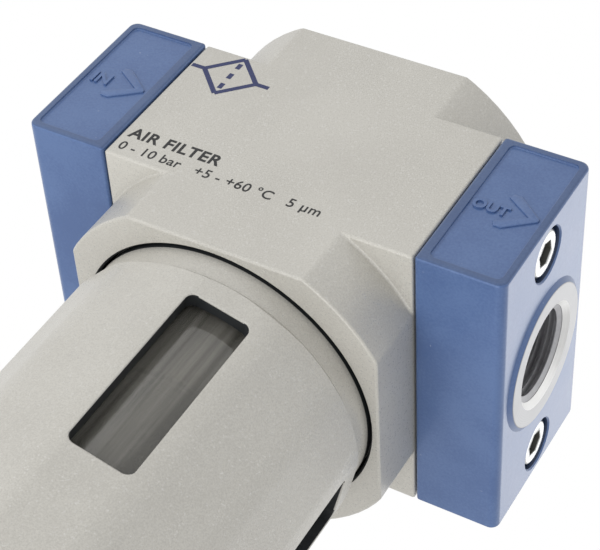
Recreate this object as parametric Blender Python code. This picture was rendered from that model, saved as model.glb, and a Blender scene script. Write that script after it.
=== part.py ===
"""Compressed air filter with a sight-windowed bowl guard, built as it comes apart on a bench.

Units are metres and +Z is up. The origin is the centre of the housing's flat back face, level
with the ports. Air enters at -X, leaves at +X, and the bowl hangs down along bowl_axis.
"""

import math

import bmesh
import bpy
from mathutils import Matrix, Vector

mm = 0.001

# Fits shared by every piece
gap = 0.3 * mm
cut_over = 1.0 * mm

# Facets round a full turn, and along a rounded edge
collar_steps = 72
round_steps = 48
small_steps = 32
stem_steps = 24
cutter_steps = 12
corner_steps = 5
edge_steps = 3
seal_sides = 6

# Bowl, guard and collar, from the inside out
bowl_radius = 22.8 * mm
bowl_wall = 2.4 * mm
bowl_length = 87.3 * mm
bowl_corner = 11.0 * mm
bowl_air_gap = 1.2 * mm
guard_wall = 1.6 * mm
guard_sides = 12
facet_step = 0.6 * mm
collar_clearance = 0.45 * mm
collar_wall = 1.45 * mm
guard_neck = 4.0 * mm
guard_floor = 2.0 * mm
guard_corner = 6.0 * mm
guard_floor_room = 2.5 * mm

# Sight windows in the guard
window_count = 4
window_first = math.radians(15)
window_width = 10.7 * mm
window_height = 32.0 * mm
window_drop = 4.7 * mm
window_corner = 1.3 * mm

# Housing
body_height = 54.4 * mm
core_height = 31.3 * mm
corner_cut = 4.1 * mm

# End plates and their ports
plate_thickness = 15.0 * mm
plate_proud = 0.3 * mm
plate_edge = 1.0 * mm
thread_radius = 8.33 * mm
thread_length = 11.0 * mm
thread_height = 1.33 * mm
mouth_chamfer = 0.9 * mm
boss_margin = 3.9 * mm
boss_slope = 0.95 * mm
boss_height = 0.65 * mm
panel_margin = 1.3 * mm
panel_depth = 0.45 * mm

# Plate seals and screws
plate_seal_section = 1.8 * mm
plate_seal_margin = 2.6 * mm
screw_edge = 6.0 * mm
screw_radius = 2.5 * mm
screw_length = 20.0 * mm
head_radius = 4.25 * mm
head_height = 5.0 * mm
head_sink = 0.4 * mm
head_chamfer = 0.3 * mm
screw_point = 0.6 * mm
key_across = 4.0 * mm
key_depth = 2.5 * mm

# Flow passages in the housing
chamber_roof = 2.0 * mm
chamber_height = 3.0 * mm
tube_wall = 4.0 * mm
tube_length = 6.0 * mm
inlet_stop = 1.5 * mm
pocket_inset = 0.5 * mm
riser_step = 0.5 * mm
bridge_width = 6.4 * mm
bridge_height = 3.0 * mm

# Bowl rim
spigot_height = 3.4 * mm
bowl_seal_section = 1.9 * mm
flange_thickness = 2.3 * mm
slip_thickness = 0.8 * mm

# Filter stack under the centre tube
vane_base = 2.0 * mm
vane_rise = 2.0 * mm
vane_slots = 12
vane_slot_width = 1.8 * mm
vane_slot_margin = 1.7 * mm
vane_slope = math.radians(35)
gasket_thickness = 0.8 * mm
element_wall = 4.5 * mm
element_length = 23.3 * mm
baffle_thickness = 1.6 * mm
baffle_fall = 4.2 * mm
baffle_clearance = 1.9 * mm
stud_radius = 2.5 * mm
nut_across = 8.0 * mm
nut_height = 4.0 * mm
stud_tail = 1.5 * mm

# Drain
drain_radius = 6.0 * mm
drain_bore = 3.0 * mm
drain_flange = 2.0 * mm
drain_flange_height = 2.5 * mm
drain_washer = 1.0 * mm
drain_reach = 13.4 * mm
drain_nut_across = 18.0 * mm
drain_nut_height = 3.5 * mm
drain_nut_room = 1.6 * mm
stem_radius = 1.7 * mm
stem_head = 4.5 * mm
stem_head_height = 2.0 * mm
stem_washer = 0.8 * mm
stem_lift = 2.0 * mm
knob_radius = 9.0 * mm
knob_drop = 1.2 * mm
knob_web = 2.0 * mm
knob_skirt = 4.0 * mm
knob_flutes = 12
flute_radius = 1.5 * mm
weep_count = 3
weep_radius = 1.2 * mm

# Radii that follow from the sizes above
bowl_inner = bowl_radius - bowl_wall
guard_inner = bowl_radius + bowl_air_gap
guard_ring = guard_inner + guard_wall
guard_flat = guard_ring + facet_step
guard_ridge = guard_flat / math.cos(math.pi / guard_sides)
collar_bore = guard_ring + collar_clearance
body_side = 2 * (collar_bore + collar_wall)
collar_radius = body_side / 2 + corner_cut
spigot_bore = bowl_radius + gap
seal_pocket = bowl_radius + 2 * gap + bowl_seal_section
port_bore = thread_radius - thread_height
tube_radius = port_bore + tube_wall
element_inner = port_bore + tube_wall / 2
element_radius = element_inner + element_wall
bowl_axis = Vector((0, -body_side / 2, 0))

# Levels from the port axis down
chamber_top = -(port_bore + chamber_roof)
spigot_roof = chamber_top - chamber_height
bowl_top = spigot_roof - gap
seal_roof = bowl_top - spigot_height
flange_top = seal_roof - bowl_seal_section - 2 * gap
flange_bottom = flange_top - flange_thickness
slip_top = flange_bottom - gap
guard_top = slip_top - slip_thickness - gap
collar_end = -body_height / 2
shoulder = min(collar_end, guard_top) - guard_neck
tube_end = chamber_top - tube_length
vane_top = tube_end + vane_rise
vane_bottom = tube_end - gap - vane_base
element_top = vane_bottom - gasket_thickness - 2 * gap
element_bottom = element_top - element_length
baffle_top = element_bottom - gasket_thickness - 2 * gap
nut_top = baffle_top - baffle_thickness - gap
bowl_bottom = bowl_top - bowl_length
bowl_floor = bowl_bottom + bowl_wall
drain_seat = bowl_floor + gap + drain_washer + gap
drain_end = bowl_bottom - drain_reach
drain_nut_top = bowl_bottom - gap
guard_floor_top = drain_nut_top - drain_nut_height - drain_nut_room
guard_bottom = guard_floor_top - guard_floor
knob_top = guard_bottom - knob_drop
knob_web_top = drain_end - gap
knob_bottom = knob_web_top - knob_web - knob_skirt


def clear_scene():
    for old in list(bpy.data.objects):
        bpy.data.objects.remove(old, do_unlink=True)


def paint(name, color, roughness, metallic=0.0, alpha=1.0):
    """A plain Principled material in the piece's own colour."""
    material = bpy.data.materials.new(name)
    material.use_nodes = True
    shader = material.node_tree.nodes["Principled BSDF"]
    shader.inputs["Base Color"].default_value = (*color, 1)
    shader.inputs["Roughness"].default_value = roughness
    shader.inputs["Metallic"].default_value = metallic
    shader.inputs["Alpha"].default_value = alpha
    return material


def place(name, bm, at=(0, 0, 0)):
    """Ends a bmesh as an object with outward faces at the given place."""
    bmesh.ops.recalc_face_normals(bm, faces=bm.faces[:])
    mesh = bpy.data.meshes.new(name)
    bm.to_mesh(mesh)
    bm.free()
    mesh.shade_smooth()
    mesh.set_sharp_from_angle(angle=math.radians(35))
    made = bpy.data.objects.new(name, mesh)
    made.location = at
    bpy.context.scene.collection.objects.link(made)
    return made


def as_cutter(made):
    made.hide_render = True
    made.display_type = "WIRE"
    return made


def shape(made, *steps):
    """Adds one Boolean for each (operation, helper) pair, in order."""
    for operation, helper in steps:
        modifier = made.modifiers.new(helper.name, "BOOLEAN")
        modifier.operation = operation
        modifier.solver = "EXACT"
        modifier.object = as_cutter(helper)
    return made


def turned(name, profile, at=bowl_axis, steps=round_steps):
    """A solid of revolution about Z. Its profile is (radius, height) points; where it starts
    and ends on the axis it is left open there, and elsewhere it closes on itself."""
    bm = bmesh.new()
    points = [bm.verts.new((radius, 0, height)) for radius, height in profile]
    edges = [bm.edges.new(pair) for pair in zip(points, points[1:])]
    if profile[0][0] > 0 or profile[-1][0] > 0:
        edges.append(bm.edges.new((points[-1], points[0])))
    bmesh.ops.spin(
        bm,
        geom=points + edges,
        cent=(0, 0, 0),
        axis=(0, 0, 1),
        angle=2 * math.pi,
        steps=steps,
        use_merge=True,
    )
    bmesh.ops.remove_doubles(bm, verts=bm.verts[:], dist=1e-7)
    return place(name, bm, at)


def rod(name, radius, low, high, at=bowl_axis, steps=small_steps):
    """A plain round bar from low to high."""
    return turned(name, [(0, high), (radius, high), (radius, low), (0, low)], at, steps)


def washer(name, inner, outer, low, high, steps=round_steps):
    profile = [(inner, high), (outer, high), (outer, low), (inner, low)]
    return turned(name, profile, bowl_axis, steps)


def block(name, low, high):
    """A box between two corners."""
    bm = bmesh.new()
    bmesh.ops.create_cube(bm, size=1)
    low, high = Vector(low), Vector(high)
    bmesh.ops.scale(bm, vec=high - low, verts=bm.verts[:])
    bmesh.ops.translate(bm, vec=(low + high) / 2, verts=bm.verts[:])
    return place(name, bm)


def prism(name, sides, flat_radius, low, high, at=bowl_axis):
    """An upright bar with the given number of flats."""
    bm = bmesh.new()
    bmesh.ops.create_cone(
        bm,
        cap_ends=True,
        segments=sides,
        radius1=flat_radius / math.cos(math.pi / sides),
        radius2=flat_radius / math.cos(math.pi / sides),
        depth=high - low,
        matrix=Matrix.Translation((0, 0, (low + high) / 2)),
    )
    return place(name, bm, at)


def ring_seal(name, middle, section, height, steps=round_steps):
    """An O-ring about Z."""
    turns = [2 * math.pi * i / seal_sides for i in range(seal_sides)]
    profile = [
        (middle + section / 2 * math.cos(a), height + section / 2 * math.sin(a)) for a in turns
    ]
    return turned(name, profile, bowl_axis, steps)


def lay_along_x(made, side):
    """Turns a piece built about Z so that its +Z points along side * X."""
    made.data.transform(Matrix.Rotation(side * math.pi / 2, 4, "Y"))
    return made


def arc(centre_radius, centre_height, radius, start, end, steps):
    """Profile points on a circular arc, angles in degrees from +radius towards +Z."""
    turns = [math.radians(start + (end - start) * i / steps) for i in range(steps + 1)]
    return [
        (centre_radius + radius * math.cos(a), centre_height + radius * math.sin(a))
        for a in turns
    ]


def finish(made, material):
    made.data.materials.clear()
    made.data.materials.append(material)
    return made


def make_housing(material):
    """Square core for the ports, with rounded collars above and below it."""
    half = body_side / 2
    middle = Vector(bowl_axis)
    body = block(
        "housing",
        middle + Vector((-half, -half, -body_height / 2)),
        middle + Vector((half, half, body_height / 2)),
    )
    far = 2 * half
    end = body_height / 2 + cut_over
    for name, side in (("cut_top_corners", 1), ("cut_bottom_corners", -1)):
        low, high = sorted((side * core_height / 2, side * end))
        shape(body, ("DIFFERENCE", washer(name, collar_radius, far, low, high, collar_steps)))

    riser_radius = port_bore - riser_step
    dome = arc(0, 0, riser_radius, 90, 0, corner_steps + 1)
    dome[0] = (0, riser_radius)
    cavity = turned(
        "cut_bowl_cavity",
        dome
        + [
            (riser_radius, tube_end),
            (tube_radius, tube_end),
            (tube_radius, chamber_top),
            (bowl_inner, chamber_top),
            (bowl_inner, spigot_roof),
            (spigot_bore, spigot_roof),
            (spigot_bore, seal_roof),
            (seal_pocket, seal_roof),
            (seal_pocket, flange_top + gap),
            (collar_bore, flange_top + gap),
            (collar_bore, collar_end - cut_over),
            (0, collar_end - cut_over),
        ],
    )
    outlet = lay_along_x(rod("cut_outlet_bore", port_bore, riser_step, half + cut_over), 1)
    pocket_low = tube_radius + inlet_stop
    inlet = lay_along_x(
        rod("cut_inlet_bore", port_bore, pocket_low + riser_step, half + cut_over), -1
    )
    pocket_half = port_bore - pocket_inset
    pocket = block(
        "cut_inlet_pocket",
        middle + Vector((-(bowl_inner - gap), -pocket_half, chamber_top - cut_over)),
        middle + Vector((-pocket_low, pocket_half, -cut_over)),
    )
    bridge = block(
        "stud_bridge",
        middle + Vector((-port_bore - cut_over, -bridge_width / 2, tube_end + gap)),
        middle + Vector((port_bore + cut_over, bridge_width / 2, tube_end + gap + bridge_height)),
    )
    stud_hole = rod("cut_stud_hole", stud_radius + gap, tube_end - cut_over, chamber_top + cut_over)
    shape(
        body,
        ("DIFFERENCE", cavity),
        ("DIFFERENCE", outlet),
        ("DIFFERENCE", inlet),
        ("DIFFERENCE", pocket),
        ("UNION", bridge),
        ("DIFFERENCE", stud_hole),
    )
    for side in (-1, 1):
        for row in (-1, 1):
            hole = lay_along_x(
                rod(
                    f"cut_screw_hole_{side}_{row}",
                    screw_radius + gap,
                    screw_tip() - cut_over,
                    half + cut_over,
                    screw_place(row),
                ),
                side,
            )
            shape(body, ("DIFFERENCE", hole))
    return finish(body, material)


def plate_face():
    return body_side / 2 + plate_thickness


def screw_tip():
    """How far from the bowl axis, along X, a plate screw ends."""
    return plate_face() - head_sink - head_height - screw_length


def screw_place(row):
    return bowl_axis + Vector((0, row * (body_side / 2 - screw_edge), 0))


def make_plate(name, side, material):
    """An end plate with its port, boss, marking panel, screw holes and seal groove."""
    near, far = side * (body_side / 2 + gap), side * plate_face()
    low_x, high_x = sorted((near, far))
    front = -body_side - plate_proud
    plate = block(name, (low_x, front, -core_height / 2), (high_x, 0, core_height / 2))
    bm = bmesh.new()
    bm.from_mesh(plate.data)
    rim = [e for e in bm.edges if all(abs(v.co.x - far) < gap for v in e.verts)]
    bmesh.ops.bevel(
        bm,
        geom=rim,
        offset=plate_edge,
        segments=edge_steps,
        profile=0.5,
        affect="EDGES",
        material=-1,
    )
    bm.to_mesh(plate.data)
    bm.free()

    reach = abs(far)
    top = thread_radius + boss_margin
    boss = turned(
        f"{name}_boss",
        [
            (0, reach + boss_height),
            (top, reach + boss_height),
            (top + boss_slope, reach),
            (top + boss_slope, reach - cut_over),
            (0, reach - cut_over),
        ],
    )
    mouth = reach + boss_height
    port = turned(
        f"cut_{name}_port",
        [
            (0, mouth + cut_over),
            (thread_radius + mouth_chamfer + cut_over, mouth + cut_over),
            (thread_radius, mouth - mouth_chamfer),
            (thread_radius, mouth - thread_length),
            (port_bore, mouth - thread_length - thread_height),
            (port_bore, abs(near) - cut_over),
            (0, abs(near) - cut_over),
        ],
    )
    seal_middle = port_bore + plate_seal_margin + gap + plate_seal_section / 2
    half_width = plate_seal_section / 2 + gap
    groove = washer(
        f"cut_{name}_groove",
        seal_middle - half_width,
        seal_middle + half_width,
        abs(near) - cut_over,
        body_side / 2 + 2 * gap + plate_seal_section,
    )
    shape(
        plate,
        ("UNION", lay_along_x(boss, side)),
        ("DIFFERENCE", lay_along_x(port, side)),
        ("DIFFERENCE", lay_along_x(groove, side)),
    )
    for row in (-1, 1):
        hole = turned(
            f"cut_{name}_screw_{row}",
            [
                (0, reach + cut_over),
                (head_radius + gap, reach + cut_over),
                (head_radius + gap, reach - head_sink - head_height - gap),
                (screw_radius + gap, reach - head_sink - head_height - gap),
                (screw_radius + gap, abs(near) - cut_over),
                (0, abs(near) - cut_over),
            ],
            screw_place(row),
            small_steps,
        )
        shape(plate, ("DIFFERENCE", lay_along_x(hole, side)))

    panel_x = sorted((near + side * 2 * panel_margin, far - side * panel_margin))
    panel_top = core_height / 2 - panel_margin
    panel = block(
        f"cut_{name}_panel",
        (panel_x[0], front - cut_over, -panel_top),
        (panel_x[1], front + panel_depth, panel_top),
    )
    shape(plate, ("DIFFERENCE", panel))
    return finish(plate, material)


def make_plate_seal(name, side, material):
    middle = port_bore + plate_seal_margin + gap + plate_seal_section / 2
    height = body_side / 2 + gap + plate_seal_section / 2
    seal = ring_seal(name, middle, plate_seal_section, height, small_steps)
    return finish(lay_along_x(seal, side), material)


def screw_mesh():
    """Socket head screw along +Z with its head's top at zero, shared by all four screws."""
    shank_end = -head_height - screw_length
    screw = turned(
        "screw_blank",
        [
            (0, 0),
            (head_radius - head_chamfer, 0),
            (head_radius, -head_chamfer),
            (head_radius, -head_height),
            (screw_radius, -head_height),
            (screw_radius, shank_end + screw_point),
            (screw_radius - screw_point, shank_end),
            (0, shank_end),
        ],
        (0, 0, 0),
        small_steps,
    )
    key = prism("cut_key", 6, key_across / 2, -key_depth, cut_over, (0, 0, 0))
    shape(screw, ("DIFFERENCE", key))
    bpy.context.view_layer.update()
    graph = bpy.context.evaluated_depsgraph_get()
    mesh = bpy.data.meshes.new_from_object(screw.evaluated_get(graph))
    for helper in (screw, key):
        bpy.data.objects.remove(helper, do_unlink=True)
    return mesh


def make_screws(material):
    mesh = screw_mesh()
    mesh.materials.clear()
    mesh.materials.append(material)
    for plate, side in (("inlet_plate", -1), ("outlet_plate", 1)):
        for place_name, row in (("front", -1), ("back", 1)):
            screw = bpy.data.objects.new(f"{plate}_screw_{place_name}", mesh)
            screw.location = screw_place(row) + Vector((side * (plate_face() - head_sink), 0, 0))
            screw.rotation_euler = (0, side * math.pi / 2, 0)
            bpy.context.scene.collection.objects.link(screw)


def make_swirl_vane(material):
    """Louvred ring that starts the air spinning, clamped under the centre tube."""
    outer = bowl_inner - gap
    vane = turned(
        "swirl_vane",
        [
            (tube_radius + gap, vane_top),
            (outer, vane_top),
            (outer, vane_bottom),
            (port_bore, vane_bottom),
            (port_bore, tube_end - gap),
            (tube_radius + gap, tube_end - gap),
        ],
    )
    bm = bmesh.new()
    slot_length = outer - tube_radius - 2 * vane_slot_margin
    slot_depth = 2 * (vane_top - vane_bottom)
    middle = (outer + tube_radius) / 2
    for i in range(vane_slots):
        turn = Matrix.Rotation(2 * math.pi * i / vane_slots, 4, "Z")
        spot = Matrix.Translation((middle, 0, (vane_top + vane_bottom) / 2))
        slant = Matrix.Rotation(vane_slope, 4, "X")
        size = Matrix.Diagonal((slot_length, vane_slot_width, slot_depth, 1))
        bmesh.ops.create_cube(bm, size=1, matrix=turn @ spot @ slant @ size)
    shape(vane, ("DIFFERENCE", place("cut_vane_slots", bm, bowl_axis)))
    return finish(vane, material)


def make_element(material):
    element = washer(
        "filter_element", element_inner, element_radius, element_bottom, element_top
    )
    return finish(element, material)


def make_gaskets(material):
    tops = {
        "element_top_gasket": vane_bottom - gap,
        "element_bottom_gasket": element_bottom - gap,
    }
    for name, top in tops.items():
        gasket = washer(
            name, element_inner, element_radius, top - gasket_thickness, top, small_steps
        )
        finish(gasket, material)


def make_baffle(material):
    """Umbrella that closes the element's lower end and calms the water below it."""
    outer = bowl_inner - baffle_clearance
    hole = stud_radius + gap
    baffle = turned(
        "baffle_disc",
        [
            (hole, baffle_top),
            (element_radius, baffle_top),
            (outer, baffle_top - baffle_fall),
            (outer, baffle_top - baffle_fall - baffle_thickness),
            (element_radius - baffle_thickness / 2, baffle_top - baffle_thickness),
            (hole, baffle_top - baffle_thickness),
        ],
    )
    return finish(baffle, material)


def make_stud_and_nut(steel):
    """Rod that hangs the filter stack from the bridge in the centre tube."""
    top = tube_end + gap + bridge_height + gap
    bottom = nut_top - nut_height - stud_tail
    finish(rod("element_stud", stud_radius, bottom, top, steps=stem_steps), steel)
    nut_bottom = nut_top - nut_height
    nut = prism("retainer_nut", 6, nut_across / 2, nut_bottom, nut_top)
    hole = rod("cut_nut_hole", stud_radius + gap, nut_bottom - cut_over, nut_top + cut_over)
    finish(shape(nut, ("DIFFERENCE", hole)), steel)


def make_bowl(material):
    """Clear bowl: a spigot into the housing, a flange that the guard lifts, and a round floor."""
    flange = guard_ring
    inner_corner = bowl_corner - bowl_wall
    hole = drain_radius + gap
    curve_radius, curve_height = bowl_radius - bowl_corner, bowl_bottom + bowl_corner
    outer_curve = arc(curve_radius, curve_height, bowl_corner, 0, -90, corner_steps)
    inner_curve = arc(curve_radius, curve_height, inner_corner, -90, 0, corner_steps)
    profile = [
        (bowl_inner, bowl_top),
        (bowl_radius, bowl_top),
        (bowl_radius, flange_top),
        (flange, flange_top),
        (flange, flange_bottom),
        (bowl_radius, flange_bottom),
    ]
    profile += outer_curve + [(hole, bowl_bottom), (hole, bowl_floor)] + inner_curve
    return finish(turned("bowl", profile), material)


def make_bowl_seal(material):
    middle = bowl_radius + gap + bowl_seal_section / 2
    height = flange_top + gap + bowl_seal_section / 2
    return finish(ring_seal("bowl_seal", middle, bowl_seal_section, height), material)


def make_slip_ring(material):
    ring = washer(
        "slip_ring", bowl_radius + gap, guard_ring - gap, slip_top - slip_thickness, slip_top
    )
    return finish(ring, material)


def make_guard(material):
    """Twelve-sided metal guard: a round neck that screws into the collar, four sight windows
    and an open floor round the drain."""
    over = guard_ridge + cut_over
    rise = over - guard_ring
    outside = turned(
        "bowl_guard",
        [
            (0, guard_top),
            (guard_ring, guard_top),
            (guard_ring, shoulder),
            (over, shoulder - rise),
            (over, guard_bottom + guard_corner + cut_over),
            (guard_ridge - guard_corner, guard_bottom),
            (0, guard_bottom),
        ],
    )
    flats = prism(
        "guard_flats",
        guard_sides,
        guard_flat,
        guard_bottom - cut_over,
        guard_top + cut_over,
    )
    hole = drain_nut_across / 2 + guard_floor_room
    inside = turned(
        "cut_guard_inside",
        [
            (0, guard_top + cut_over),
            (guard_inner, guard_top + cut_over),
            (guard_inner, guard_floor_top + guard_corner),
            (guard_inner - guard_corner, guard_floor_top),
            (hole, guard_floor_top),
            (hole, guard_bottom - cut_over),
            (0, guard_bottom - cut_over),
        ],
    )
    bm = bmesh.new()
    top = shoulder - window_drop
    for i in range(window_count):
        made = bmesh.ops.create_cube(bm, size=1)["verts"]
        bmesh.ops.scale(bm, vec=(window_width, guard_ring, window_height), verts=made)
        corners = [
            e
            for e in {e for v in made for e in v.link_edges}
            if abs(e.verts[0].co.y - e.verts[1].co.y) > guard_ring / 2
        ]
        out = Vector((0, -guard_inner, top - window_height / 2))
        bmesh.ops.translate(bm, vec=out, verts=made)
        turn = Matrix.Rotation(window_first + 2 * math.pi * i / window_count, 3, "Z")
        bmesh.ops.rotate(bm, cent=(0, 0, 0), matrix=turn, verts=made)
        bmesh.ops.bevel(
            bm,
            geom=corners,
            offset=window_corner,
            segments=edge_steps,
            profile=0.5,
            affect="EDGES",
            material=-1,
        )
    windows = place("cut_guard_windows", bm, bowl_axis)
    shape(
        outside,
        ("INTERSECT", flats),
        ("DIFFERENCE", inside),
        ("DIFFERENCE", windows),
    )
    return finish(outside, material)


def make_drain(plastic, rubber, steel):
    """Manual drain: a fitting through the bowl's floor, a lift-off stem and a turning knob."""
    flange = drain_radius + drain_flange
    body = turned(
        "drain_body",
        [
            (drain_bore, drain_seat + drain_flange_height),
            (flange, drain_seat + drain_flange_height),
            (flange, drain_seat),
            (drain_radius, drain_seat),
            (drain_radius, drain_end),
            (drain_bore, drain_end),
        ],
        steps=small_steps,
    )
    finish(body, plastic)
    seal = washer(
        "drain_body_seal",
        drain_radius + gap,
        flange,
        bowl_floor + gap,
        bowl_floor + gap + drain_washer,
        small_steps,
    )
    finish(seal, rubber)

    nut = prism(
        "drain_nut",
        6,
        drain_nut_across / 2,
        drain_nut_top - drain_nut_height,
        drain_nut_top,
    )
    hole = rod(
        "cut_drain_nut_hole",
        drain_radius + gap,
        drain_nut_top - drain_nut_height - cut_over,
        drain_nut_top + cut_over,
    )
    finish(shape(nut, ("DIFFERENCE", hole)), plastic)

    seat = drain_seat + drain_flange_height + gap
    head_low = seat + stem_washer + gap
    tail = knob_web_top - knob_web - stem_lift - gap
    stem = turned(
        "drain_stem",
        [
            (0, head_low + stem_head_height),
            (stem_head, head_low + stem_head_height),
            (stem_head, head_low),
            (stem_radius, head_low),
            (stem_radius, tail),
            (0, tail),
        ],
        steps=stem_steps,
    )
    finish(stem, steel)
    stem_seal = washer(
        "drain_stem_seal", stem_radius + gap, stem_head, seat, seat + stem_washer, stem_steps
    )
    finish(stem_seal, rubber)


def make_drain_knob(material):
    """Fluted knob that runs the stem up and down, with weep holes in its web."""
    knob = turned(
        "drain_knob",
        [
            (drain_radius + gap, knob_top),
            (knob_radius, knob_top),
            (knob_radius, knob_bottom),
            (drain_radius, knob_bottom),
            (drain_radius, knob_web_top - knob_web),
            (stem_radius + gap, knob_web_top - knob_web),
            (stem_radius + gap, knob_web_top),
            (drain_radius + gap, knob_web_top),
        ],
    )
    bm = bmesh.new()
    for i in range(knob_flutes):
        turn = Matrix.Rotation(2 * math.pi * i / knob_flutes, 4, "Z")
        spot = Matrix.Translation((knob_radius + flute_radius / 2, 0, (knob_top + knob_bottom) / 2))
        bmesh.ops.create_cone(
            bm,
            cap_ends=True,
            segments=cutter_steps,
            radius1=flute_radius,
            radius2=flute_radius,
            depth=knob_top - knob_bottom + 2 * cut_over,
            matrix=turn @ spot,
        )
    flutes = place("cut_knob_flutes", bm, bowl_axis)
    bm = bmesh.new()
    weep_ring = (stem_radius + drain_radius) / 2
    for i in range(weep_count):
        turn = Matrix.Rotation(2 * math.pi * i / weep_count, 4, "Z")
        spot = Matrix.Translation((weep_ring, 0, knob_web_top - knob_web / 2))
        bmesh.ops.create_cone(
            bm,
            cap_ends=True,
            segments=cutter_steps,
            radius1=weep_radius,
            radius2=weep_radius,
            depth=knob_web + 2 * cut_over,
            matrix=turn @ spot,
        )
    weeps = place("cut_knob_weeps", bm, bowl_axis)
    return finish(shape(knob, ("DIFFERENCE", flutes), ("DIFFERENCE", weeps)), material)


def build():
    clear_scene()
    silver = paint("silver_paint", (0.55, 0.54, 0.51), 0.45, 0.3)
    blue = paint("blue_paint", (0.09, 0.16, 0.33), 0.45)
    zinc = paint("zinc_plate", (0.72, 0.72, 0.7), 0.3, 1.0)
    black_rubber = paint("black_rubber", (0.02, 0.02, 0.02), 0.8)
    clear = paint("clear_bowl", (0.75, 0.78, 0.8), 0.1, 0.0, 0.35)
    sinter = paint("sintered_element", (0.8, 0.78, 0.7), 0.9)
    white_plastic = paint("natural_plastic", (0.75, 0.74, 0.7), 0.5)
    black_plastic = paint("black_plastic", (0.03, 0.03, 0.03), 0.5)

    make_housing(silver)
    for name, side in (("inlet_plate", -1), ("outlet_plate", 1)):
        make_plate(name, side, blue)
        make_plate_seal(f"{name}_seal", side, black_rubber)
    make_screws(zinc)
    make_swirl_vane(black_plastic)
    make_stud_and_nut(zinc)
    make_element(sinter)
    make_gaskets(black_rubber)
    make_baffle(black_plastic)
    make_bowl(clear)
    make_bowl_seal(black_rubber)
    make_slip_ring(white_plastic)
    make_guard(silver)
    make_drain(black_plastic, black_rubber, zinc)
    make_drain_knob(black_plastic)


build()
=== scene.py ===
import math

import bmesh
import bpy
from mathutils import Matrix, Vector


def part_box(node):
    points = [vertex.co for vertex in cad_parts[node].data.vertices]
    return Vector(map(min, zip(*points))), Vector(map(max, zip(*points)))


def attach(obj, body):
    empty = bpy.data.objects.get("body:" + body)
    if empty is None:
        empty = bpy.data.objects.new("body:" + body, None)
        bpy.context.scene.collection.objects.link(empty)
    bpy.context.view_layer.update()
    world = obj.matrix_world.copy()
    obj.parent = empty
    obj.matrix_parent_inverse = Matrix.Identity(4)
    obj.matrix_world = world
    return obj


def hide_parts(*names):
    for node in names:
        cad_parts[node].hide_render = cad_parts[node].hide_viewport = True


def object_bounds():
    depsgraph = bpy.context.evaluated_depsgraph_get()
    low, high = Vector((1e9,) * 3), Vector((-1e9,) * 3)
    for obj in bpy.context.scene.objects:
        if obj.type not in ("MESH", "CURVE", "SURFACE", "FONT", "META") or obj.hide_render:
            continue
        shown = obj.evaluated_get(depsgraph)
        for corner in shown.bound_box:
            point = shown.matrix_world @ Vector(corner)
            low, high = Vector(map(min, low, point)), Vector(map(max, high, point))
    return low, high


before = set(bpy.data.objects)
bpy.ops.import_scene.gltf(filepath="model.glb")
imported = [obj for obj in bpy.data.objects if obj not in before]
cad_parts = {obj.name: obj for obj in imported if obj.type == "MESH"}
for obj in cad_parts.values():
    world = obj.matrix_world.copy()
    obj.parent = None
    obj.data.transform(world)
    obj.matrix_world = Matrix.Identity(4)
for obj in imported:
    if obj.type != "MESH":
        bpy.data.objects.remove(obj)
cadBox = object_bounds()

mm = 0.001
slack = 0.02 * mm  # a corner this close to a surface lies on it
headBody = "filter_head"
bowlBody = "bowl_unit"
inward = Vector((0, 1, 0))
upward = Vector((0, 0, 1))

housingLow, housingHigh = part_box("housing")
bowlLow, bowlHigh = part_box("bowl")
guardLow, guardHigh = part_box("bowl_guard")
outletLow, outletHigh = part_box("outlet_plate")
bowlAxis = Vector((0, (housingLow.y + housingHigh.y) / 2, 0))
bodyHalf = (housingHigh.x - housingLow.x) / 2
print("frame loaded")


def addObject(name, data):
    made = bpy.data.objects.new(name, data)
    bpy.context.scene.collection.objects.link(made)
    return made


def shade(mesh, sharpAngle):
    mesh.shade_smooth()
    mesh.set_sharp_from_angle(angle=math.radians(sharpAngle))


def endPiece(bm, name, sharpAngle=35):
    bmesh.ops.remove_doubles(bm, verts=bm.verts[:], dist=1e-6)
    bmesh.ops.recalc_face_normals(bm, faces=bm.faces[:])
    mesh = bpy.data.meshes.new(name)
    bm.to_mesh(mesh)
    bm.free()
    shade(mesh, sharpAngle)
    return addObject(name, mesh)


def reopen(piece):
    bm = bmesh.new()
    bm.from_mesh(piece.data)
    return bm


def close(piece, bm, sharpAngle=35):
    bmesh.ops.recalc_face_normals(bm, faces=bm.faces[:])
    bm.to_mesh(piece.data)
    bm.free()
    shade(piece.data, sharpAngle)
    weighted = piece.modifiers.new("even shading", "WEIGHTED_NORMAL")
    weighted.keep_sharp = True


# a profile is a list of radius and height
def roundCorners(profile, radius, steps=4):
    # every corner off the axis becomes a small curve
    done = []
    last = len(profile) - 1
    closed = profile[0][0] > 0
    for i, corner in enumerate(profile):
        if not closed and i in (0, last):
            done.append(corner)
            continue
        here = Vector(corner)
        before = Vector(profile[i - 1])
        after = Vector(profile[(i + 1) % len(profile)])
        reach = min(radius, (before - here).length * 0.45, (after - here).length * 0.45)
        start = here + (before - here).normalized() * reach
        stop = here + (after - here).normalized() * reach
        for step in range(steps + 1):
            t = step / steps
            done.append(tuple(start * (1 - t) ** 2 + here * 2 * t * (1 - t) + stop * t ** 2))
    return done


def arcPoints(centre, radius, start, stop, steps):
    turns = [math.radians(start + (stop - start) * i / steps) for i in range(steps + 1)]
    return [(centre[0] + radius * math.cos(a), centre[1] + radius * math.sin(a)) for a in turns]


def rodProfile(radius, top, low):
    return [(0, top), (radius, top), (radius, low), (0, low)]


def ringProfile(inner, outer, top, low):
    return [(inner, top), (outer, top), (outer, low), (inner, low)]


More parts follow.
